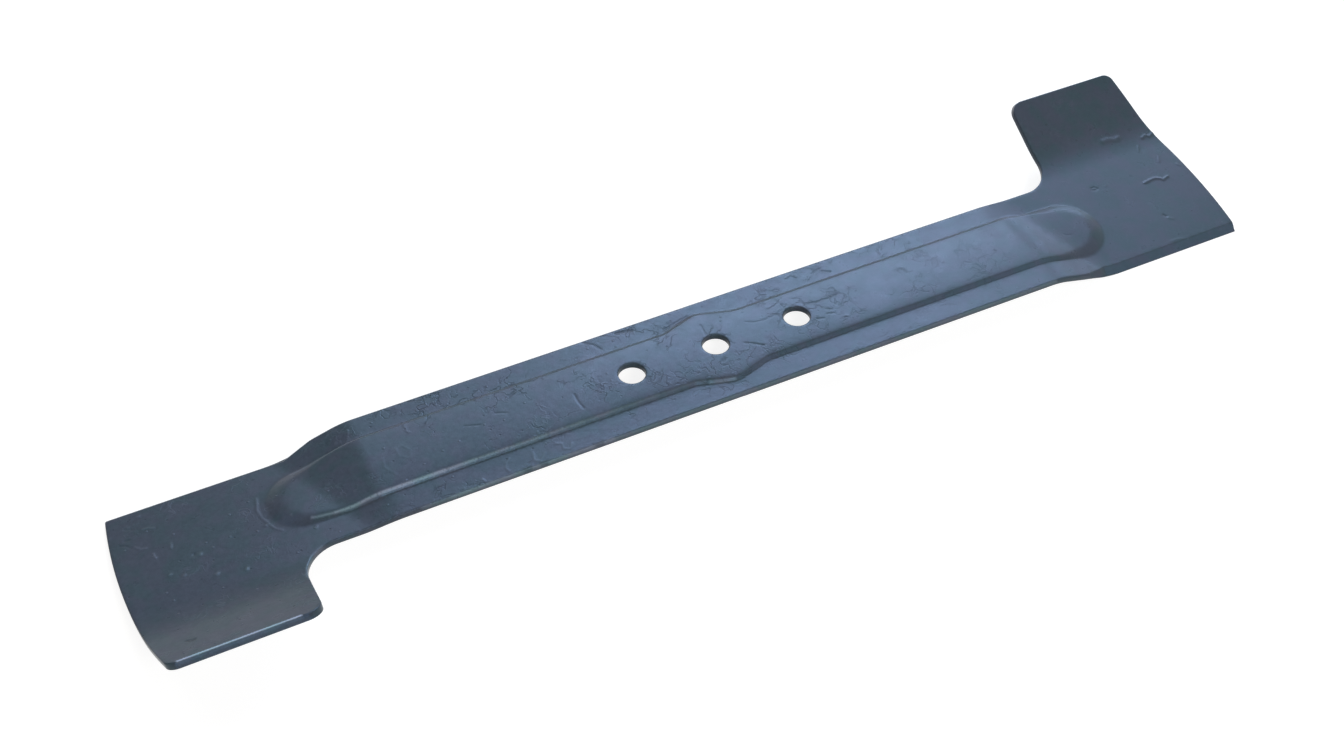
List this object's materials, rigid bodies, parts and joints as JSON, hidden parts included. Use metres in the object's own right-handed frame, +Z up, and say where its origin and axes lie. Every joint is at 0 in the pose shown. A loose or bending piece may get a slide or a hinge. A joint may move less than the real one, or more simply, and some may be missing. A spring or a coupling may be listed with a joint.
{
  "type": "rotary mower blade",
  "caption": "Mower blade pressed from steel sheet: ground leading edges at the tips, upturned air-lift sails behind them, and a raised stiffening panel with fixing holes in a row.",
  "frame": {"origin": "under the centre hole, on the plane that the ground cutting edges stand on", "axes": "+X along the blade, +Z up through the holes, away from the grass; the leading edge at the +X end faces -Y and its sail rises on the +Y side"},
  "size_m": [0.4284, 0.1196, 0.0227],
  "materials": {
    "painted_steel": "semi-gloss blue-grey paint over pressed steel"
  },
  "bodies": {
    "root": {"mower_blade": "painted_steel"}
  },
  "joints": []
}
